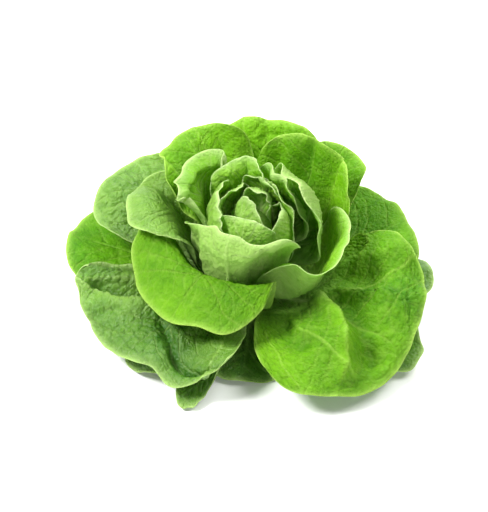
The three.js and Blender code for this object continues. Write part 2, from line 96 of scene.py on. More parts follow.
# Outermost leaf first: each one lies on those before it
leaves = [
    dict(lowLeaf, name="leaf_under_right", azimuth=1, halfWidth=17,
         root=(14, 5), belly=(52, 10), shoulder=(100, 20), tip=(140, 24), pleat=(2, 2, 0)),
    dict(lowLeaf, name="leaf_under_front_right", azimuth=-32, halfWidth=15, sideReach=0.72,
         root=(14, 5), belly=(52, 6), shoulder=(100, 8), tip=(147, 8), pleat=(2, 2, 1)),
    dict(lowLeaf, name="leaf_under_front", azimuth=-96, halfWidth=24,
         root=(14, 5), belly=(42, 6), shoulder=(74, 6), tip=(96, 4), pleat=(2, 2, 2)),
    dict(lowLeaf, name="leaf_under_front_left", azimuth=-114, halfWidth=7.5, sideReach=0.75, cup=5,
         root=(14, 6), belly=(52, 7), shoulder=(95, 8), tip=(133, 3)),
    dict(lowLeaf, name="leaf_under_left", azimuth=-137, halfWidth=22,
         root=(14, 6), belly=(50, 7), shoulder=(90, 8), tip=(124, 4), pleat=(2, 2, 1)),
    dict(lowLeaf, name="leaf_under_back_left", azimuth=122, halfWidth=34,
         root=(14, 6), belly=(50, 9), shoulder=(95, 13), tip=(128, 6), pleat=(3, 2, 1)),
    dict(lowLeaf, name="leaf_under_back", azimuth=84, halfWidth=34,
         root=(14, 7), belly=(50, 10), shoulder=(95, 14), tip=(124, 7), pleat=(3, 2, 0)),
    dict(lowLeaf, name="leaf_under_back_right", azimuth=46, halfWidth=32,
         root=(14, 7), belly=(50, 10), shoulder=(95, 15), tip=(126, 7), pleat=(3, 2, 2)),
    dict(name="leaf_far_left", azimuth=168, halfWidth=26, ccw=(0, -12), pleat=(3, 2, 0),
         root=(14, 7), belly=(55, 18), shoulder=(105, 32), tip=(151, 38), tone=0.4),
    dict(name="leaf_back_left", azimuth=147, halfWidth=30, cw=(-8, 14), ccw=(0, -12), sideReach=0.68,
         root=(14, 8), belly=(55, 28), shoulder=(100, 56), tip=(138, 66), pleat=(5, 2, 1),
         tone=0.6, crinkle=2.2, finish="waxy"),
    dict(name="leaf_right_back", azimuth=18, halfWidth=36, cw=(0, -10), ccw=(-6, 16), sideReach=0.68,
         root=(14, 8), belly=(55, 20), shoulder=(100, 40), tip=(130, 44), pleat=(3, 2, 1), tone=0.4),
    dict(name="leaf_back_right", azimuth=52, halfWidth=24, sideReach=0.68,
         root=(14, 9), belly=(52, 28), shoulder=(90, 60), tip=(118, 80), pleat=(4, 2, 0), tone=0.4),
    dict(name="leaf_back", azimuth=84, halfWidth=37, sideReach=0.66,
         root=(14, 10), belly=(55, 28), shoulder=(85, 72), tip=(108, 99), pleat=(5, 3, 0),
         tone=0.85, crinkle=1.6,
         folds=((-0.3, -0.35, -3.5, 8, 0.4, 1.0), (0.25, 0.3, 3.0, 5, 0.4, 1.0))),
    dict(largeLeaf, name="leaf_crinkled_left", azimuth=-138, halfWidth=42, cw=(44, 8), ccw=(-2, 10),
         sideReach=0.8, sharpness=1.6, pleat=(5, 2.5, 0.6),
         root=(14, 11), belly=(52, 18), shoulder=(98, 28), tip=(127, 16),
         creases=((0.02, -0.58, 11, 0.10, 0.3, 0.3, 1.2), (-0.6, -0.7, -7, 0.15, 0.12, 0.3, 0.8),
                  (0.42, 0.42, -12, 0.2, 0.25, 0.25, 1.2)),
         folds=((0.35, -0.84, 6.5, 5, 0.45, 1.0), (0.0, -0.92, -7.5, 6, 0.35, 0.75),
                (-0.82, -0.82, 3.5, 4, 0.4, 0.85), (-0.97, -0.95, -3.0, 4, 0.4, 0.8),
                (-1.34, 1.01, -7.0, 9, 0.45, 0.85), (0.7, 0.8, 4.5, 7, 0.4, 1.0),
                (-0.2, -0.5, -2.0, 3, 0.6, 1.0)),
         tone=0.5, crinkle=1.7, crinkleSize=8, curl=2.0, finish="waxy"),
    dict(largeLeaf, name="leaf_fan_right", azimuth=-37, halfWidth=54, cw=(2, 4), ccw=(-10, 36),
         sideReach=0.72, sidePower=3, neck=0.8, pleat=(5, 3, 0.3),
         root=(14, 13), belly=(52, 24), shoulder=(100, 30), tip=(143, 8),
         creases=((0.38, -0.47, 14, 0.25, 0.07, 0.2, 0.72), (-0.81, -0.08, 5, 0.08, 0.08, 0.25, 0.7),
                  (0.32, -0.2, -9, 0.1, 0.1, 0.25, 0.8), (0.0, 0.1, 7, 0.15, 0.15, 0.4, 1.2),
                  (0.45, 0.45, -9, 0.12, 0.12, 0.3, 1.2)),
         folds=((0.41, -0.61, 6.0, 4, 0.26, 0.82), (0.55, -0.36, -3.5, 8, 0.3, 0.75),
                (-0.68, -0.33, 3.5, 3, 0.4, 0.8), (-0.155, 0.68, 1.6, 2, 0.3, 0.9),
                (0.24, 0.28, -5.0, 14, 0.45, 0.9), (-0.95, -0.75, 2.5, 8, 0.4, 0.9),
                (-0.6, -0.62, -4.5, 10, 0.28, 0.62), (-0.215, 1.21, 3.5, 5, 0.45, 0.95)),
         tone=0.55, crinkle=1.4, crinkleSize=9),
    dict(largeLeaf, name="leaf_scoop_left", azimuth=-131, halfWidth=59, cw=(26, 20), ccw=(-18, -6),
         sideReach=0.86, neck=0.85, pleat=(2, 2, 0),
         root=(13, 15), belly=(52, 40), shoulder=(59, 68), tip=(99, 44), tone=0.65, crinkle=0.8),
    dict(name="leaf_flap_left", azimuth=168, halfWidth=32, gap=2, cw=(-10, 12), ccw=(-12, 0), sideReach=0.84,
         root=(13, 17), belly=(50, 38), shoulder=(70, 76), tip=(106, 80), pleat=(2, 2, 1),
         tone=0.8, crinkle=0.5, finish="waxy",
         creases=((-0.5, -0.5, -9, 0.3, 0.06, 0.3, 2),)),
    dict(name="leaf_cup_back_left", azimuth=129, halfWidth=40, ccw=(-6, -14), sideReach=0.78,
         root=(12.6, 19), belly=(54, 44), shoulder=(76, 88), tip=(92, 112), pleat=(4, 2, 0),
         tone=0.7, crinkle=0.6,
         creases=((0.5, 0.62, 16, 0.07, 3, 0.35, 2), (-0.5, -0.5, -8, 0.15, 0.15, 0.4, 2)),
         folds=((0.2, 0.3, -4.0, 9, 0.4, 1.0), (-0.25, -0.2, 3.0, 5, 0.4, 0.95),
                (0.55, 0.66, 3.0, 4, 0.4, 1.0))),
    dict(name="leaf_cup_right", azimuth=50, halfWidth=44, cw=(8, -36), ccw=(-8, -6), sideReach=0.78,
         root=(12.3, 21), belly=(52, 46), shoulder=(66, 84), tip=(74, 117), pleat=(3, 3, 1),
         tone=0.75, crinkle=0.6,
         creases=((-0.35, -0.35, -14, 0.25, 0.08, 0.3, 2), (0.45, 0.3, 8, 0.1, 0.2, 0.4, 2)),
         folds=((0.1, 0.0, -5.0, 8, 0.35, 1.0), (-0.3, -0.4, 3.5, 4, 0.35, 0.95),
                (-0.7, -0.8, 2.5, 5, 0.4, 1.0))),
    # partly painted light: the high tone brightens this leaf, whose inner face lies in the heart's shade
    dict(name="leaf_wrap_right", azimuth=-32, halfWidth=56, gap=2, neck=0.95, cw=(-14, -22), ccw=(10, 8),
         sideReach=0.88, pleat=(2, 2, 0), finish="inner", tone=0.85,
         root=(12, 23), belly=(48, 36), shoulder=(60, 57), tip=(74, 78)),
    dict(name="leaf_pale_right", azimuth=30, halfWidth=46, gap=2, sideReach=0.8, pleat=(3, 2, 0),
         root=(11.6, 25), belly=(46, 48), shoulder=(50, 86), tip=(30, 112), finish="inner"),
    dict(name="leaf_wrap_front", azimuth=-114, halfWidth=68, gap=2, cells=(9, 14), cw=(6, -20),
         sideReach=0.82, pleat=(2, 3, 0), finish="inner",
         creases=((-0.35, -0.3, 6, 0.1, 0.25, 0.35, 2), (0.3, 0.35, -6, 0.2, 0.1, 0.35, 2)),
         root=(11.3, 27), belly=(50, 46), shoulder=(57, 83), tip=(46, 105)),
    dict(name="leaf_rolled_left", azimuth=151, halfWidth=35, gap=2, sideReach=0.86, pleat=(2, 2, 0), cup=16,
         cw=(-10, 10), ccw=(2, -4),
         root=(11, 29), belly=(44, 54), shoulder=(56, 88), tip=(84, 88),
         finish="inner", tone=0.7, curl=7.0, crinkle=0.8),
    dict(name="leaf_tongue_right", azimuth=42, halfWidth=44, gap=2, sideReach=0.8, pleat=(3, 2, 1),
         root=(19, 37), belly=(40, 58), shoulder=(42, 95), tip=(30, 114), finish="inner"),
]

# The heart's own leaves bend over the top, so their widths are in mm and a midrib may cross the axis
heartDefaults = dict(
    cells=(9, 10), fineness=7, gap=1.6,
    bend=36,                        # radius that the blade is rolled to
    halfWidths=(12, 34, 36, 22),    # at the root, belly, shoulder and tip
    sideDrop=0.25,                  # how much shorter the sides are
    pleat=(2.5, 3, 0),
    finish="heart", tone=0.5, crinkle=0.9, crinkleSize=12, ruffle=2.6, ruffleLength=16,
)
heartLeaves = [
    dict(name="heart_back", azimuth=100, root=(6, 40), belly=(36, 60), shoulder=(42, 92), tip=(38, 115),
         halfWidths=(12, 36, 38, 24), bend=46, pleat=(4, 3, 0)),
    dict(name="heart_left", azimuth=172, root=(6, 41), belly=(33, 60), shoulder=(36, 90), tip=(27, 107),
         halfWidths=(12, 34, 34, 20), bend=40, pleat=(4, 2.5, 1)),
    dict(name="heart_right", azimuth=35, root=(6, 42), belly=(30, 62), shoulder=(32, 92), tip=(23, 111),
         halfWidths=(12, 32, 34, 22), bend=40, pleat=(4, 2.5, 2)),
    dict(name="heart_strip", azimuth=55, root=(5, 44), belly=(22, 66), shoulder=(25, 94), tip=(15, 113),
         halfWidths=(10, 28, 30, 20), bend=30, pleat=(3, 3, 1)),
    dict(name="heart_left_inner", azimuth=150, root=(5, 44), belly=(22, 66), shoulder=(26, 90), tip=(17, 108),
         halfWidths=(10, 26, 26, 16), bend=28, pleat=(4, 2, 1)),
    dict(name="heart_front", azimuth=-110, root=(6, 43), belly=(27, 62), shoulder=(30, 84), tip=(17, 99),
         halfWidths=(12, 32, 32, 14), bend=32, pleat=(5, 3, 1)),
    dict(name="heart_right_front", azimuth=-20,
         root=(6, 43), belly=(25, 62), shoulder=(29, 86), tip=(22, 101),
         halfWidths=(12, 30, 30, 16), bend=32, pleat=(4, 2.5, 0)),
    dict(name="heart_centre", azimuth=-140, root=(4, 46), belly=(14, 66), shoulder=(15, 88), tip=(3, 104),
         halfWidths=(8, 20, 20, 12), bend=18, pleat=(2.5, 3, 0)),
    dict(name="heart_bud", azimuth=70, root=(6, 70), belly=(13, 86), shoulder=(13, 100), tip=(3, 110),
         halfWidths=(8, 15, 15, 9), bend=12, pleat=(2, 2, 1), cells=(7, 8)),
]


def smooth(x, start, end):
    t = np.clip((x - start) / (end - start), 0, 1)
    return t * t * (3 - 2 * t)


def cubicThrough(values, t):  # passes through the four values at t = 0, 1/3, 2/3 and 1
    a, b, c = t - 1 / 3, t - 2 / 3, t - 1
    return (-4.5 * a * b * c * values[0] + 13.5 * t * b * c * values[1]
            - 13.5 * t * a * c * values[2] + 4.5 * t * a * b * values[3])


def loftBlade(leaf):
    rows, columns = leaf["cells"]
    along = 1 - (1 - np.linspace(0, 1, rows + 1)) ** rosette["rowCrowding"]
    u, v = np.meshgrid(along, np.linspace(-1, 1, columns + 1), indexing="ij")
    share = np.abs(v) ** leaf["sharpness"]
    t = u * (1 - (1 - leaf["sideReach"]) * np.abs(v) ** leaf["sidePower"])
    place = []
    for axis in (0, 1):
        move = np.where(v > 0, leaf["ccw"][axis], leaf["cw"][axis]) * share
        values = (leaf["root"][axis], leaf["belly"][axis] + rosette["bellyMove"] * move,
                  leaf["shoulder"][axis] + rosette["shoulderMove"] * move, leaf["tip"][axis] + move)
        place.append(cubicThrough(values, t))
    radius, height = place[0], place[1] - rosette["centreHeight"]
    distance = np.hypot(radius, height)
    waveHeight, waves, phase = leaf["pleat"]
    wave = waveHeight * u ** rosette["pleatGrowth"] * np.sin(np.pi * waves * v + phase)
    for crease in leaf["creases"]:
        rootPlace, tipPlace, high, before, after, start, end = crease
        off = v - (rootPlace + (tipPlace - rootPlace) * u)
        crest = np.exp(-np.where(off < 0, -off / before, off / after))
        length = smooth(u, start, start + rosette["creaseRise"])
        length = length * (1 - smooth(u, end, end + rosette["creaseFade"]))
        wave = wave + high * crest * length
    rise = (wave + leaf["cup"] * share * u) / np.maximum(distance, rosette["nearestRise"])
    elevation = np.minimum(np.arctan2(height, radius) + rise, rosette["steepest"])
    width = leaf["neck"] + (1 - leaf["neck"]) * smooth(u, 0, rosette["widening"])
    return distance, elevation, np.radians(leaf["azimuth"] + v * leaf["halfWidth"] * width)


def heartBlade(leaf):
    rows, columns = leaf["cells"]
    along = 1 - (1 - np.linspace(0, 1, rows + 1)) ** rosette["rowCrowding"]
    u, v = np.meshgrid(along, np.linspace(-1, 1, columns + 1), indexing="ij")
    t = u * (1 - leaf["sideDrop"] * np.abs(v) ** leaf["sidePower"])
    radius, height = (cubicThrough([leaf[p][axis] for p in ("root", "belly", "shoulder", "tip")], t)
                      for axis in (0, 1))
    waveHeight, waves, phase = leaf["pleat"]
    turn = v * cubicThrough(leaf["halfWidths"], t) / leaf["bend"]
    bend = leaf["bend"] + waveHeight * u ** rosette["pleatGrowth"] * np.sin(np.pi * waves * v + phase)
    radius = radius - bend * (1 - np.cos(turn))
    sideways = bend * np.sin(turn)
    facing = np.radians(leaf["azimuth"])
    x = radius * np.cos(facing) - sideways * np.sin(facing)
    y = radius * np.sin(facing) + sideways * np.cos(facing)
    height = height - rosette["centreHeight"]
    level = np.hypot(x, y)
    return np.hypot(level, height), np.arctan2(height, level), np.arctan2(y, x)


def toPoints(distance, elevation, azimuth):
    level = distance * np.cos(elevation)
    height = rosette["centreHeight"] + distance * np.sin(elevation)
    return np.stack([level * np.cos(azimuth), level * np.sin(azimuth), height], -1)


def facetPoints(points, steps):  # points on both facets of every cell, as polar places and pile cells
    a, b, c, d = points[:-1, :-1], points[1:, :-1], points[1:, 1:], points[:-1, 1:]
    share = np.linspace(0, 1, steps)
    s = share[:, None, None]
    t = share[None, :, None]
    a, b, c, d = (corner[:, :, None, None, :] for corner in (a, b, c, d))
    lower = a + s * (b - a) + t * (c - b)
    upper = a + t * (d - a) + s * (c - d)
    point = np.where(s >= t, lower, upper)
    level = np.hypot(point[..., 0], point[..., 1])
    height = point[..., 2] - rosette["centreHeight"]
    distance = np.hypot(level, height)
    ring = np.minimum((distance / rosette["ringWidth"]).astype(int), rosette["rings"] - 1)
    turn = (np.arctan2(point[..., 1], point[..., 0]) / (2 * np.pi)) % 1
    sector = np.floor(turn * rosette["sectors"]).astype(int) % rosette["sectors"]
    return distance, np.arctan2(height, level), (ring, sector)


def emptyPile():
    distance = np.maximum((np.arange(rosette["rings"]) + 0.5) * rosette["ringWidth"], rosette["nearestRing"])
    floor = np.arcsin(np.clip((rosette["lowestBlade"] - rosette["centreHeight"]) / distance, -1, 1))
    return np.repeat(floor[:, None], rosette["sectors"], 1)


def layOnPile(blade, pile, gap):  # lifts a blade clear of the leaves below, and adds it to them
    distance, elevation, azimuth = blade
    wide = pile.copy()
    for ringStep in (-1, 0, 1):
        rings = np.clip(np.arange(rosette["rings"]) + ringStep, 0, rosette["rings"] - 1)
        for sectorStep in (-1, 0, 1):
            wide = np.maximum(wide, np.roll(pile[rings], sectorStep, 1))
    rows, columns = distance.shape[0] - 1, distance.shape[1] - 1
    for _ in range(rosette["rounds"]):
        far, high, cell = facetPoints(toPoints(distance, elevation, azimuth), rosette["liftSteps"])
        clearance = np.minimum(gap, rosette["rootGap"] + rosette["gapGrowth"] * far)
        short = wide[cell] + clearance / np.maximum(far, rosette["nearest"]) - high
        short = np.maximum(0, short).max(axis=(2, 3))
        lift = np.zeros_like(elevation)
        for i in (0, 1):
            for j in (0, 1):
                corner = lift[i:i + rows, j:j + columns]
                np.maximum(corner, short, out=corner)
        if lift.max() < 1e-4:  # radians, too little to see
            break
        near = np.pad(lift, 1, mode="edge")
        shared = near[:-2, 1:-1] + near[2:, 1:-1] + near[1:-1, :-2] + near[1:-1, 2:]
        shared = rosette["liftShared"] * shared
        room = np.maximum(rosette["steepest"] - elevation, 0)
        elevation = elevation + np.minimum(np.maximum(lift, shared), room)
    points = toPoints(distance, elevation, azimuth)
    far, high, cell = facetPoints(points, rosette["pileSteps"])
    top = high + rosette["bladeRoom"] / np.maximum(far, rosette["nearest"])
    np.maximum.at(pile, (cell[0].ravel(), cell[1].ravel()), top.ravel())
    return points


def surfaceAt(points, u, v):  # Catmull-Rom surface through a grid of points, u and v in cells
    rows, columns = points.shape[0] - 1, points.shape[1] - 1
    edged = np.concatenate([2 * points[:1] - points[1:2], points, 2 * points[-1:] - points[-2:-1]])
    edged = np.concatenate([2 * edged[:, :1] - edged[:, 1:2], edged, 2 * edged[:, -1:] - edged[:, -2:-1]], 1)
    i = np.clip(np.floor(u).astype(int), 0, rows - 1)
    j = np.clip(np.floor(v).astype(int), 0, columns - 1)

    def weights(t):
        return (0.5 * (-t + 2 * t ** 2 - t ** 3), 0.5 * (2 - 5 * t ** 2 + 3 * t ** 3),
                0.5 * (t + 4 * t ** 2 - 3 * t ** 3), 0.5 * (-t ** 2 + t ** 3))

    out = 0
    for a, weightU in enumerate(weights(u - i)):
        for b, weightV in enumerate(weights(v - j)):
            out = out + (weightU * weightV)[..., None] * edged[i + a, j + b]
    return out


fieldCells = 64  # the random fields repeat after this many cells


def cellular(x, y, size, seed):  # distances to the nearest and second nearest of scattered points, in cells
    table = np.random.default_rng(seed).random((fieldCells, fieldCells, 2))
    x, y = x / size, y / size
    column, row = np.floor(x).astype(int), np.floor(y).astype(int)
    first = np.full(x.shape, 9.0)
    second = first.copy()
    for stepX in (-1, 0, 1):
        for stepY in (-1, 0, 1):
            spot = table[(column + stepX) % fieldCells, (row + stepY) % fieldCells]
            away = np.hypot(column + stepX + spot[..., 0] - x, row + stepY + spot[..., 1] - y)
            second = np.minimum(second, np.maximum(first, away))
            first = np.minimum(first, away)
    return first, second


def drift(x, y, size, seed):  # smooth random field from -1 to 1
    table = np.random.default_rng(seed).random((fieldCells, fieldCells)) * 2 - 1
    x, y = x / size, y / size
    column, row = np.floor(x).astype(int), np.floor(y).astype(int)
    s, t = x - column, y - row
    s, t = s * s * (3 - 2 * s), t * t * (3 - 2 * t)
    column, row = column % fieldCells, row % fieldCells
    nextColumn, nextRow = (column + 1) % fieldCells, (row + 1) % fieldCells
    a, b = table[column, row], table[nextColumn, row]
    c, d = table[column, nextRow], table[nextColumn, nextRow]
    return (a * (1 - s) + b * s) * (1 - t) + (c * (1 - s) + d * s) * t


veining = dict(
    pairs=6,                # side veins on each side of the midrib
    firstStart=0.05,        # where the lowest pair leaves the midrib, as a share of its length
    startStep=0.125,
    scatter=0.022,          # unevenness of where the pairs start and end
    reach=0.62,             # further along the blade when it comes to the margin
    sweep=0.8,              # below 1 the veins leave the midrib steeply and then straighten
    wander=0.05,            # unevenness of the veins' course
    wanderLength=(26, 9),   # mm
    wanderFine=0.4,
    midribWander=0.35,
    midribRoot=3.6,         # half width of the midrib at its root and tip, mm
    midribTip=0.4,
    sideRoot=0.8,           # half width of a side vein, mm
    sideTip=0.3,
    sideSoft=0.75,          # below 1 a side vein is softer than its width
    sideFade=0.5,           # how much it fades towards the margin
    netSize=(11.0, 4.6),    # mesh of the fine vein nets, mm
    netStretch=0.7,         # longer along the blade
    netBend=3.5,            # mm
    netBendLength=12,
    netWidth=(0.07, 0.09),  # line width as a share of the mesh
    netShow=(0.55, 0.3),
    ribDepth=2.4,           # how far the midrib stands out of the lower face at the root, mm
    sideDepth=0.25,         # and a side vein
)


def veinMaps(u, v, along, across, halfSpan, seed):  # midrib, side veins and fine net, each 0 to 1
    shift = np.random.default_rng(seed).normal(0, veining["scatter"], (2, veining["pairs"], 2))
    coarse, fine = veining["wanderLength"]
    sway = drift(across, along, coarse, seed + 6)
    sway = sway + veining["wanderFine"] * drift(across, along, fine, seed + 7)
    sway = v + veining["wander"] * sway
    midribHalf = veining["midribTip"] + (veining["midribRoot"] - veining["midribTip"]) * (1 - u) ** 1.5
    midrib = np.exp(-((v + veining["midribWander"] * (sway - v)) * halfSpan / midribHalf) ** 2)
    side = np.zeros_like(u)
    for half, sign in enumerate((-1, 1)):
        for pair in range(veining["pairs"]):
            start = veining["firstStart"] + veining["startStep"] * pair + shift[half, pair, 0]
            run = np.clip((u - start) / (veining["reach"] + shift[half, pair, 1]), 0, 2)
            line = sign * run ** veining["sweep"]
            out = np.clip(run, 0, 1)
            thick = veining["sideTip"] + (veining["sideRoot"] - veining["sideTip"]) * (1 - out)
            away = veining["sideSoft"] * np.abs(sway - line) * halfSpan / thick
            shown = np.exp(-away ** 2) * smooth(run, 0, 0.04) * (1 - veining["sideFade"] * out)
            side = np.maximum(side, shown)
    net = np.zeros_like(u)
    bentX = across + veining["netBend"] * drift(across, along, veining["netBendLength"], seed + 8)
    bentY = along + veining["netBend"] * drift(across, along, veining["netBendLength"], seed + 9)
    for step, size in enumerate(veining["netSize"]):
        first, second = cellular(bentX, bentY * veining["netStretch"], size, seed + 20 + step)
        line = np.exp(-((second - first) / veining["netWidth"][step]) ** 2)
        net = np.maximum(net, veining["netShow"][step] * line)
    return midrib, side, net


def unit(vectors):
    return vectors / np.maximum(np.linalg.norm(vectors, axis=-1, keepdims=True), 1e-9)


def normalsOf(points):
    return unit(np.cross(np.gradient(points, axis=0), np.gradient(points, axis=1)))


bladeEdge = dict(
    margin=0.55,           # thickness at the margin, mm
    middle=0.9,            # thickness at the root, mm
    cornerAlong=0.13,      # how much the tip's corners are rounded off
    cornerAcross=0.10,
    cornerPower=7,
    notch=0.035,           # unevenness of the outline, as a share of the length
    notches=4.0,           # notches across each half of the blade
    ruffleReach=9.0,       # how far the margin's wave reaches inwards, mm
    ruffleStart=(0.25, 0.6),
    ruffleFine=0.45,       # length of the finer waves as a share of the main ones
    curlReach=6.0,
    curlStart=(0.3, 0.7),
    farthest=60,           # distances to the margin count no further, mm
)
puckering = dict(
    edge=0.45,             # width of the furrow round a pucker, as a share of its size
    fineSize=0.42,         # finer puckers as a share of the main ones
    fineHeight=0.55,
    level=0.8,             # height that leaves the blade where it was on the whole
    patches=38,            # mm, crinkled patches between calmer ones
    patchShare=(0.65, 0.5),
    calmMargin=7,          # mm without puckers at the margin
    calmRoot=(0.06, 0.3),
    veinCalm=12,           # mm at the margin where veins no longer sink in
    midribDepth=0.8,
)
folding = dict(
    wander=0.02,           # unevenness of a fold's course
    wanderLength=16,       # mm
    rise=0.15,
    fade=0.12,
    paintedFoldShadeReach=1.6,         # a fold's painted light and shade reach further than its form
)
markShow = dict(
    midrib=0.9,            # how strongly each vein and the painted crest highlight show
    midribFade=0.45,
    side=0.75,
    net=0.6,
    # painted highlight: a pale line along the crest of each sharp fold, in the vein colour
    crest=0.8,
    crestHighlightWidth=0.9,        # half width of the painted highlight line along a sharp fold's crest, mm
    rimWidth=2.2,          # width of the pale margin, mm
    rootReach=0.62,        # how far the pale root reaches
    rootBlade=0.3,         # its share beside the midrib
    toneDrift=0.22,        # soft change of tone over the blade
    tonePatch=45,          # mm
    # painted shade and light: puckers darker in their furrows and lighter on their tops
    paintedPuckerShade=0.16,
    paintedFoldLightAndShade=0.07,        # painted light on a fold's ridge and painted shade in its furrow, for each mm of fold height
)


def fineBlade(leaf, points, seed):  # the solid's blade again, with veins, puckers, folds and a waved margin
    rows, columns = leaf["cells"]
    countU, countV = rows * leaf["fineness"], columns * leaf["fineness"]
    a, w = np.meshgrid(np.linspace(0, 1, countU + 1), np.linspace(-1, 1, countV + 1), indexing="ij")
    uneven = drift(w * bladeEdge["notches"] + 9, 0 * w + seed, 1.0, seed)
    uneven = bladeEdge["notch"] * (0.5 + 0.5 * uneven)
    u = a * (1 - bladeEdge["cornerAlong"] * np.abs(w) ** bladeEdge["cornerPower"] - uneven * a ** 6)
    v = w * (1 - bladeEdge["cornerAcross"] * a ** bladeEdge["cornerPower"])
    middle = surfaceAt(points, u * rows, (v + 1) * 0.5 * columns)

    # lengths along and across the blade, in mm
    stepU = np.linalg.norm(np.diff(middle, axis=0), axis=-1)
    stepV = np.linalg.norm(np.diff(middle, axis=1), axis=-1)
    along = np.concatenate([np.zeros((1, countV + 1)), np.cumsum(stepU, 0)])
    across = np.concatenate([np.zeros((countU + 1, 1)), np.cumsum(stepV, 1)], 1)
    across = across - across[:, countV // 2][:, None]
    halfSpan = 0.5 * stepV.sum(1)[:, None] + 0 * u
    toMargin = np.minimum((1 - np.abs(w)) * halfSpan, along[-1][None, :] - along)
    toMargin = np.minimum(toMargin, bladeEdge["farthest"])

    # puckers and veins
    midrib, side, net = veinMaps(a, w, along, across, halfSpan, seed)
    puckers = []
    for share, step in ((1, 1), (puckering["fineSize"], 2)):
        first, second = cellular(across, along, share * leaf["crinkleSize"], seed + step)
        puckers.append(1 - (1 - np.clip((second - first) / puckering["edge"], 0, 1)) ** 2)
    least, more = puckering["patchShare"]
    patchy = least + more * drift(across, along, puckering["patches"], seed + 3)
    calm = smooth(toMargin, 0, puckering["calmMargin"]) * smooth(a, *puckering["calmRoot"]) * (1 - midrib)
    pucker = puckers[0] + puckering["fineHeight"] * puckers[1] - puckering["level"]
    push = leaf["crinkle"] * patchy * calm * pucker
    sunk = (side + puckering["midribDepth"] * midrib) * smooth(toMargin, 0, puckering["veinCalm"])
    push = push - leaf["veinDepth"] * sunk

    # sharp ridges and rounded furrows, with a painted highlight line along each ridge
    crest = np.zeros_like(a)
    # swell gathers each fold's height for the painted light on its ridge and the painted shade in its furrow
    swell = np.zeros_like(a)
    wander = folding["wander"] * drift(across, along, folding["wanderLength"], seed + 12)
    for rootPlace, tipPlace, height, width, start, end in leaf["folds"]:
        off = np.abs(w + wander - rootPlace - (tipPlace - rootPlace) * a) * halfSpan
        length = smooth(a, start, start + folding["rise"]) * (1 - smooth(a, end, end + folding["fade"]))
        push = push + height * np.exp(-off / width if height > 0 else -(off / width) ** 2) * length
        swell = swell + height * np.exp(-off / (folding["paintedFoldShadeReach"] * width)) * length
        # painted highlight along the crest of each rising fold
        if height > 0:
            crest = np.maximum(crest, np.exp(-(off / markShow["crestHighlightWidth"]) ** 2) * length)

    # waved and curled margin
    rim = np.exp(-toMargin / bladeEdge["ruffleReach"])
    sway = drift(across, along, leaf["ruffleLength"], seed + 4)
    sway = sway + 0.5 * drift(across, along, bladeEdge["ruffleFine"] * leaf["ruffleLength"], seed + 10)
    push = push + 2 * leaf["ruffle"] * rim * smooth(a, *bladeEdge["ruffleStart"]) * sway
    curl = np.exp(-toMargin / bladeEdge["curlReach"]) * smooth(a, *bladeEdge["curlStart"])
    push = push + leaf["curl"] * curl

    normal = normalsOf(middle)
    middle = middle + push[..., None] * normal
    normal = normalsOf(middle)
    half = 0.5 * (bladeEdge["margin"] + (bladeEdge["middle"] - bladeEdge["margin"]) * (1 - a))
    rib = veining["ribDepth"] * midrib * (1 - a) ** 1.2 * smooth(a, 0, 0.08)
    upper = middle + half[..., None] * normal
    lower = middle - (half + rib + veining["sideDepth"] * side)[..., None] * normal
    # the vein mark also carries the painted highlight along fold crests
    veinsAndCrestHighlight = [markShow["midrib"] * midrib * (1 - markShow["midribFade"] * a), markShow["side"] * side,
             markShow["net"] * net, markShow["crest"] * crest]
    tone = leaf["tone"] + markShow["toneDrift"] * drift(across, along, markShow["tonePatch"], seed + 5)
    # painted shade and light: tone drops in the furrows of puckers and folds and rises on their tops
    tone = tone + markShow["paintedPuckerShade"] * (puckers[0] - 0.5) + markShow["paintedFoldLightAndShade"] * swell
    beside = markShow["rootBlade"]
    marks = dict(
        veinAndCrestHighlight=np.clip(np.maximum.reduce(veinsAndCrestHighlight), 0, 1),
        rim=np.exp(-toMargin / markShow["rimWidth"]),
        root=(1 - smooth(a, 0.0, markShow["rootReach"])) ** 1.6 * (beside + (1 - beside) * midrib),
        tone=np.clip(tone, 0, 1),
    )
    return middle, upper, lower, marks


def marginOf(rows, columns):  # the grid's border, anticlockwise seen from above
    stride = columns + 1
    return np.concatenate([
        np.arange(rows) * stride, rows * stride + np.arange(columns),
        np.arange(rows, 0, -1) * stride + columns, np.arange(columns, 0, -1)])


def buildPiece(name, points, faces, marks):  # mesh object from mm points, four-cornered faces and point marks
    mesh = bpy.data.meshes.new(name)
    mesh.vertices.add(len(points))
    mesh.vertices.foreach_set("co", (points * mm).astype(np.float32).ravel())
    mesh.loops.add(faces.size)
    mesh.loops.foreach_set("vertex_index", faces.astype(np.int32).ravel())
    mesh.polygons.add(len(faces))
    mesh.polygons.foreach_set("loop_start", np.arange(0, faces.size, 4, dtype=np.int32))
    mesh.polygons.foreach_set("use_smooth", np.ones(len(faces), bool))
    for mark, values in marks.items():
        layer = mesh.attributes.new(mark, "FLOAT", "POINT")
        layer.data.foreach_set("value", values.astype(np.float32).ravel())
    mesh.update(calc_edges=True)
    mesh.validate()
    piece = bpy.data.objects.new(name, mesh)
    bpy.context.scene.collection.objects.link(piece)
    return piece


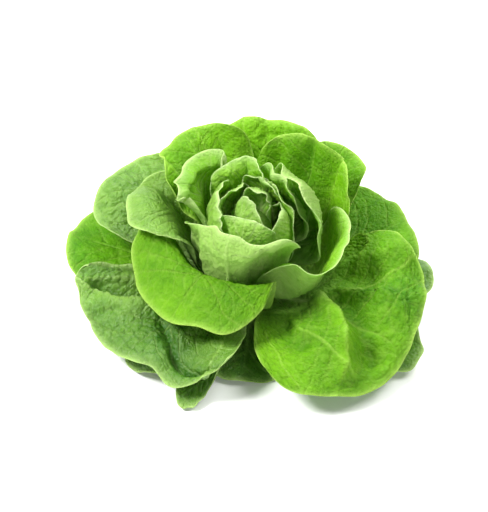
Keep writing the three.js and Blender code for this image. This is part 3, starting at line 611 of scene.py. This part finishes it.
def leafPiece(leaf, points, seed):
    middle, upper, lower, marks = fineBlade(leaf, points, seed)
    rows, columns = middle.shape[0] - 1, middle.shape[1] - 1
    count = (rows + 1) * (columns + 1)
    stride = columns + 1
    corner = (np.arange(rows)[:, None] * stride + np.arange(columns)[None, :]).ravel()
    upperFaces = np.stack([corner, corner + stride, corner + stride + 1, corner + 1], 1)
    lowerFaces = upperFaces[:, ::-1] + count
    margin = marginOf(rows, columns)
    after = np.roll(margin, -1)
    flatMiddle = middle.reshape(-1, 3)
    edgeNormal = normalsOf(middle).reshape(-1, 3)[margin]
    outward = unit(np.cross(flatMiddle[after] - flatMiddle[np.roll(margin, 1)], edgeNormal))
    lip = flatMiddle[margin] + 0.5 * bladeEdge["margin"] * outward
    lipIndex = 2 * count + np.arange(len(margin))
    lipAfter = np.roll(lipIndex, -1)
    upperLip = np.stack([lipIndex, lipAfter, after, margin], 1)
    lowerLip = np.stack([margin + count, after + count, lipAfter, lipIndex], 1)
    faces = np.concatenate([upperFaces, lowerFaces, upperLip, lowerLip])
    vertices = np.concatenate([upper.reshape(-1, 3), lower.reshape(-1, 3), lip])
    spread = {mark: np.concatenate([values.ravel(), values.ravel(), values.ravel()[margin]])
              for mark, values in marks.items()}
    spread["under"] = np.concatenate([np.zeros(count), np.ones(count), np.full(len(margin), 0.5)])
    return buildPiece(leaf["name"] + "_blade", vertices, faces, spread)


def colour(hexCode):  # sRGB hex to linear
    parts = [int(hexCode[k:k + 2], 16) / 255 for k in (1, 3, 5)]
    linear = [p / 12.92 if p <= 0.04045 else ((p + 0.055) / 1.055) ** 2.4 for p in parts]
    return (*linear, 1.0)


def addNode(tree, kind, settings=None, links=None):
    node = tree.nodes.new(kind)
    for key, value in (settings or {}).items():
        if isinstance(key, int) or key in node.inputs:
            node.inputs[key].default_value = value
        else:
            setattr(node, key, value)
    for key, socket in (links or {}).items():
        tree.links.new(socket, node.inputs[key])
    return node


# Living leaf blade: a waxy cuticle over soft green tissue. It shows a broad soft gloss, a fine grain
# of small cells, pale veins, and a yellow-green glow where light comes through from behind. The waxy one
# has more bloom on it, so it looks greyer and shinier, and inner blades are paler where light didn't reach.
leafFinishes = dict(
    # each finish's vein colour is also painted along fold crests as a highlight
    outer=dict(name="lettuce leaf blade, green", slot="outer_leaf", deep="#357406", bright="#7ab612",
               veinAndCrestHighlight="#b8de62", rim="#c2e56c", root="#cfe69c", under="#8cb450", glow="#98cc08", through=0.40,
               veinAndCrestShow=0.5, rimShow=0.75, underShow=0.55, glossy=0.42, dull=0.60, ior=1.28),
    waxy=dict(name="lettuce leaf blade, waxy green", slot="outer_leaf", deep="#346a10", bright="#7fac3c",
              veinAndCrestHighlight="#b8d87c", rim="#c8e688", root="#cfe69c", under="#93b466", glow="#98cc10", through=0.36,
              veinAndCrestShow=0.45, rimShow=0.7, underShow=0.6, glossy=0.28, dull=0.42, ior=1.5),
    inner=dict(name="lettuce leaf blade, inner", slot="inner_leaf", deep="#4c8e06", bright="#8ac224",
               veinAndCrestHighlight="#cfe890", rim="#dcf0a6", root="#d6e9a8", under="#aed06e", glow="#a6d810", through=0.44,
               veinAndCrestShow=0.55, rimShow=0.75, underShow=0.68, glossy=0.40, dull=0.60, ior=1.36),
    heart=dict(name="lettuce leaf blade, heart", slot="heart_leaf", deep="#5a9c0a", bright="#98cc30",
               veinAndCrestHighlight="#d2e89a", rim="#e2f2b6", root="#cfe494", under="#a4cc5c", glow="#a8d820", through=0.44,
               veinAndCrestShow=0.45, rimShow=0.7, underShow=0.55, glossy=0.40, dull=0.60, ior=1.36),
)
leafGrain = dict(
    blotch=34.0,         # mm, soft change of colour
    blotchShare=0.5,
    fleck=9.6,           # mm
    fleckShare=0.45,
    balance=0.47,        # keeps the mean tone where the mark puts it
    grain=2.4,           # mm, surface cells; real ones are finer and would not show
    grainShare=-0.8,
    pores=1.1,           # mm
    veinShare=-1.2,
    grainDepth=1.1,      # mm
    reliefStrength=0.9,
    rootShow=0.9,
    glowShare=0.6,       # how much of the light that comes through has the glow's own colour
)


def leafMaterial(look):
    material = bpy.data.materials.new(look["name"])
    material.use_nodes = True
    tree = material.node_tree
    tree.nodes.clear()
    place = addNode(tree, "ShaderNodeTexCoord").outputs["Object"]
    marks = {mark: addNode(tree, "ShaderNodeAttribute", {"attribute_name": mark}).outputs["Fac"]
             for mark in ("veinAndCrestHighlight", "rim", "root", "tone", "under")}

    # tone of the green
    blotch = addNode(tree, "ShaderNodeTexNoise", {"Scale": 1 / (leafGrain["blotch"] * mm), "Detail": 4.0},
                     {"Vector": place}).outputs["Fac"]
    fleck = addNode(tree, "ShaderNodeTexNoise", {"Scale": 1 / (leafGrain["fleck"] * mm), "Detail": 5.0},
                    {"Vector": place}).outputs["Fac"]
    lightness = addNode(tree, "ShaderNodeMath", {"operation": "MULTIPLY_ADD", 1: leafGrain["blotchShare"]},
                        {0: blotch, 2: marks["tone"]})
    lightness = addNode(tree, "ShaderNodeMath", {"operation": "MULTIPLY_ADD", 1: leafGrain["fleckShare"]},
                        {0: fleck, 2: lightness.outputs[0]})
    lightness = addNode(tree, "ShaderNodeMath",
                        {"operation": "SUBTRACT", 1: leafGrain["balance"], "use_clamp": True},
                        {0: lightness.outputs[0]})
    shade = addNode(tree, "ShaderNodeMix",
                    {"data_type": "RGBA", 6: colour(look["deep"]), 7: colour(look["bright"])},
                    {0: lightness.outputs[0]}).outputs[2]

    # underside, veins with the painted highlight along fold crests, root and margin over it
    layers = dict(under=look["underShow"], veinAndCrestHighlight=look["veinAndCrestShow"],
                  root=leafGrain["rootShow"], rim=look["rimShow"])
    for mark, most in layers.items():
        amount = addNode(tree, "ShaderNodeMath", {"operation": "MULTIPLY", 1: most}, {0: marks[mark]})
        shade = addNode(tree, "ShaderNodeMix", {"data_type": "RGBA", 7: colour(look[mark])},
                        {0: amount.outputs[0], 6: shade}).outputs[2]

    # cells and pores, with the veins sunk between them
    cells = addNode(tree, "ShaderNodeTexVoronoi", {"Scale": 1 / (leafGrain["grain"] * mm)}, {"Vector": place})
    pores = addNode(tree, "ShaderNodeTexNoise", {"Scale": 1 / (leafGrain["pores"] * mm), "Detail": 2.0},
                    {"Vector": place})
    relief = addNode(tree, "ShaderNodeMath", {"operation": "MULTIPLY_ADD", 1: leafGrain["grainShare"]},
                     {0: cells.outputs["Distance"], 2: pores.outputs["Fac"]}).outputs[0]
    relief = addNode(tree, "ShaderNodeMath", {"operation": "MULTIPLY_ADD", 1: leafGrain["veinShare"]},
                     {0: marks["veinAndCrestHighlight"], 2: relief}).outputs[0]
    bump = addNode(tree, "ShaderNodeBump",
                   {"Strength": leafGrain["reliefStrength"], "Distance": leafGrain["grainDepth"] * mm},
                   {"Height": relief})
    rough = addNode(tree, "ShaderNodeMapRange", {"To Min": look["glossy"], "To Max": look["dull"]},
                    {"Value": blotch})
    blade = addNode(tree, "ShaderNodeBsdfPrincipled", {"IOR": look["ior"]},
                    {"Base Color": shade, "Roughness": rough.outputs[0], "Normal": bump.outputs[0]})
    tint = addNode(tree, "ShaderNodeMix",
                   {"data_type": "RGBA", 0: leafGrain["glowShare"], 7: colour(look["glow"])}, {6: shade})
    through = addNode(tree, "ShaderNodeBsdfTranslucent", links={"Color": tint.outputs[2]})
    both = addNode(tree, "ShaderNodeMixShader", {0: look["through"]},
                   {1: blade.outputs[0], 2: through.outputs[0]})
    addNode(tree, "ShaderNodeOutputMaterial", links={"Surface": both.outputs[0]})
    return material


leafMaterials = {finish: leafMaterial(look) for finish, look in leafFinishes.items()}


def addLeaf(leaf, points, node, seed):
    piece = leafPiece(leaf, points, seed)
    piece.data.materials.append(leafMaterials[leaf["finish"]])
    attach(piece, "root")
    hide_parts(node)


seeds = dict(step=31, leaf=5, heart=1205, stem=301, core=302)  # another number gives another unevenness
pile = emptyPile()
for order, entry in enumerate(leaves):
    leaf = {**leafDefaults, **entry}
    points = layOnPile(loftBlade(leaf), pile, leaf["gap"])
    addLeaf(leaf, points, leaf["name"], seeds["step"] * order + seeds["leaf"])
for order, entry in enumerate(heartLeaves):  # these cross each other, so each lies on the outer leaves only
    leaf = {**leafDefaults, **heartDefaults, **entry}
    points = layOnPile(heartBlade(leaf), pile.copy(), leaf["gap"])
    addLeaf(leaf, points, "heart", seeds["step"] * order + seeds["heart"])
print("leaves:", len(leaves), "and", len(heartLeaves), "in the heart")


# Stem and the heart's core: turned forms with a slightly uneven outline
stem = dict(
    profile=((0.01, 0), (6, 0), (11.5, 0), (12.4, 1), (12.6, 3),  # radius and height, mm
             (12.0, 9), (8.6, 17), (6.1, 23), (4.6, 26), (0.01, 26)),
    uneven=0.25,               # mm
)
heartCore = dict(
    profile=((0.01, 34), (6, 34), (9, 40), (14, 52), (15, 66), (12, 78), (6, 88), (0.01, 92)),
    uneven=1.1,
    marks=dict(veinAndCrestHighlight=0.1, rim=0.0, root=0.2, tone=0.3, under=0.6),
)
turning = dict(
    sides=72,
    steps=6,                   # rings between two points of a profile
    lumps=4.0,                 # lumps round the form
    lumpHeight=14.0,           # mm
    lumpSize=1.7,
)


def turnedPiece(name, form, seed):
    turn = np.linspace(0, 2 * np.pi, turning["sides"], endpoint=False)
    profile = np.array(form["profile"], float)
    stations = np.linspace(0, len(profile) - 1, turning["steps"] * (len(profile) - 1) + 1)
    radius = np.interp(stations, np.arange(len(profile)), profile[:, 0])
    height = np.interp(stations, np.arange(len(profile)), profile[:, 1])
    lumpX = turning["lumps"] * np.cos(turn)[None, :] + height[:, None] / turning["lumpHeight"]
    lumpY = turning["lumps"] * np.sin(turn)[None, :] + 20
    swell = 1 + form["uneven"] * drift(lumpX, lumpY, turning["lumpSize"], seed) / profile[:, 0].max()
    ring = radius[:, None] * swell
    points = np.stack([ring * np.cos(turn), ring * np.sin(turn), height[:, None] + 0 * ring], -1)
    rows, columns = ring.shape
    i, j = np.meshgrid(np.arange(rows - 1), np.arange(columns), indexing="ij")
    after = (j + 1) % columns
    below, above = i * columns, (i + 1) * columns
    faces = np.stack([below + j, below + after, above + after, above + j], -1)
    caps = [np.arange(columns)[::-1], (rows - 1) * columns + np.arange(columns)]
    mesh = bpy.data.meshes.new(name)
    mesh.from_pydata((points.reshape(-1, 3) * mm).tolist(), [],
                     faces.reshape(-1, 4).tolist() + [cap.tolist() for cap in caps])
    mesh.polygons.foreach_set("use_smooth", np.ones(len(mesh.polygons), bool))
    mesh.update()
    piece = bpy.data.objects.new(name, mesh)
    bpy.context.scene.collection.objects.link(piece)
    return piece


# Cut stem flesh: wet pale tissue with fine fibres, which turns brown and blotched where it was cut
stemLook = dict(
    flesh="#dfe6bf", skin="#b9cf8c", cut="#b08a52",
    fibre=1.6,                 # mm
    fibreDepth=0.4,            # mm
    fibreStrength=0.5,
    cutDepth=1.2,              # mm that the brown reaches up
    roughness=0.5,
)


def stemMaterial():
    material = bpy.data.materials.new("cut lettuce stem")
    material.use_nodes = True
    tree = material.node_tree
    tree.nodes.clear()
    place = addNode(tree, "ShaderNodeTexCoord").outputs["Object"]
    fibre = addNode(tree, "ShaderNodeTexNoise", {"Scale": 1 / (stemLook["fibre"] * mm), "Detail": 4.0},
                    {"Vector": place}).outputs["Fac"]
    height = addNode(tree, "ShaderNodeSeparateXYZ", links={"Vector": place}).outputs["Z"]
    skin = addNode(tree, "ShaderNodeMix",
                   {"data_type": "RGBA", 6: colour(stemLook["flesh"]), 7: colour(stemLook["skin"])},
                   {0: fibre}).outputs[2]
    cutShare = addNode(tree, "ShaderNodeMapRange", {"From Min": stemLook["cutDepth"] * mm, "From Max": 0.0},
                       {"Value": height})
    browned = addNode(tree, "ShaderNodeMath", {"operation": "MULTIPLY"}, {0: cutShare.outputs[0], 1: fibre})
    shade = addNode(tree, "ShaderNodeMix", {"data_type": "RGBA", 7: colour(stemLook["cut"])},
                    {0: browned.outputs[0], 6: skin}).outputs[2]
    bump = addNode(tree, "ShaderNodeBump",
                   {"Strength": stemLook["fibreStrength"], "Distance": stemLook["fibreDepth"] * mm},
                   {"Height": fibre})
    flesh = addNode(tree, "ShaderNodeBsdfPrincipled", {"Roughness": stemLook["roughness"]},
                    {"Base Color": shade, "Normal": bump.outputs[0]})
    addNode(tree, "ShaderNodeOutputMaterial", links={"Surface": flesh.outputs[0]})
    return material


stemPiece = turnedPiece("stem_cut", stem, seeds["stem"])
stemPiece.data.materials.append(stemMaterial())
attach(stemPiece, "root")
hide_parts("stem")
corePiece = turnedPiece("heart_core", heartCore, seeds["core"])
for mark, value in heartCore["marks"].items():
    layer = corePiece.data.attributes.new(mark, "FLOAT", "POINT")
    layer.data.foreach_set("value", np.full(len(corePiece.data.vertices), value, np.float32))
corePiece.data.materials.append(leafMaterials["heart"])
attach(corePiece, "root")
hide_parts("heart")
print("stem and core done")


# Plain pale studio
studio = dict(
    floorHalf=4.0,             # metres
    floorColour="#fbfbfa",
    floorRoughness=0.9,
    worldStrength=0.24,
    aim=(0, 0, 0.05),          # where the lights point, metres
    lights=(                   # name, place in metres, size, watts
        ("key", (-0.86, -0.16, 1.1), 0.5, 34.0),
        ("fill", (0.75, 0.1, 1.25), 0.9, 16.0),
        ("back", (0.3, 1.0, 0.9), 0.9, 20.0),
        ("front", (0.25, -1.3, 0.7), 1.0, 5.0),
    ),
)


def buildStudio():
    half = studio["floorHalf"]
    mesh = bpy.data.meshes.new("floor")
    corners = [(-half, -half, 0), (half, -half, 0), (half, half, 0), (-half, half, 0)]
    mesh.from_pydata(corners, [], [(0, 1, 2, 3)])
    floor = bpy.data.objects.new("floor", mesh)
    bpy.context.scene.collection.objects.link(floor)
    paper = bpy.data.materials.new("white studio paper")
    paper.use_nodes = True
    matt = paper.node_tree.nodes["Principled BSDF"]
    matt.inputs["Base Color"].default_value = colour(studio["floorColour"])
    matt.inputs["Roughness"].default_value = studio["floorRoughness"]
    mesh.materials.append(paper)
    world = bpy.data.worlds.new("studio")
    world.use_nodes = True
    around = world.node_tree.nodes["Background"]
    around.inputs["Color"].default_value = (1, 1, 1, 1)
    around.inputs["Strength"].default_value = studio["worldStrength"]
    bpy.context.scene.world = world
    for name, place, size, watts in studio["lights"]:
        lamp = bpy.data.lights.new(name, "AREA")
        lamp.shape = "DISK"
        lamp.size = size
        lamp.energy = watts
        light = bpy.data.objects.new(name, lamp)
        light.location = place
        towards = Vector(studio["aim"]) - Vector(place)
        light.rotation_euler = towards.to_track_quat("-Z", "Y").to_euler()
        bpy.context.scene.collection.objects.link(light)


view = dict(
    aim=(-8.5, 0.0, 46.0),     # mm, the middle of the picture
    elevation=42.0,            # degrees above level
    distance=1300.0,           # mm
    pixelsPerMm=1.29,          # at the aim
    pictureHeight=512,
    sensor=36.0,               # mm
    clipEnd=100,               # metres
)


def placeCamera():
    camera = bpy.data.cameras.new("camera")
    camera.sensor_width = view["sensor"]
    camera.lens = view["pixelsPerMm"] * view["distance"] * camera.sensor_width / view["pictureHeight"]
    camera.clip_end = view["clipEnd"]
    holder = bpy.data.objects.new("camera", camera)
    rise = math.radians(view["elevation"])
    away = Vector((0, -math.cos(rise), math.sin(rise))) * view["distance"]
    aim = Vector(view["aim"])
    holder.location = (aim + away) * mm
    holder.rotation_euler = (-away).to_track_quat("-Z", "Y").to_euler()
    bpy.context.scene.collection.objects.link(holder)
    bpy.context.scene.camera = holder


buildStudio()
placeCamera()
bpy.context.scene.view_settings.view_transform = "Standard"
print("studio and camera placed")
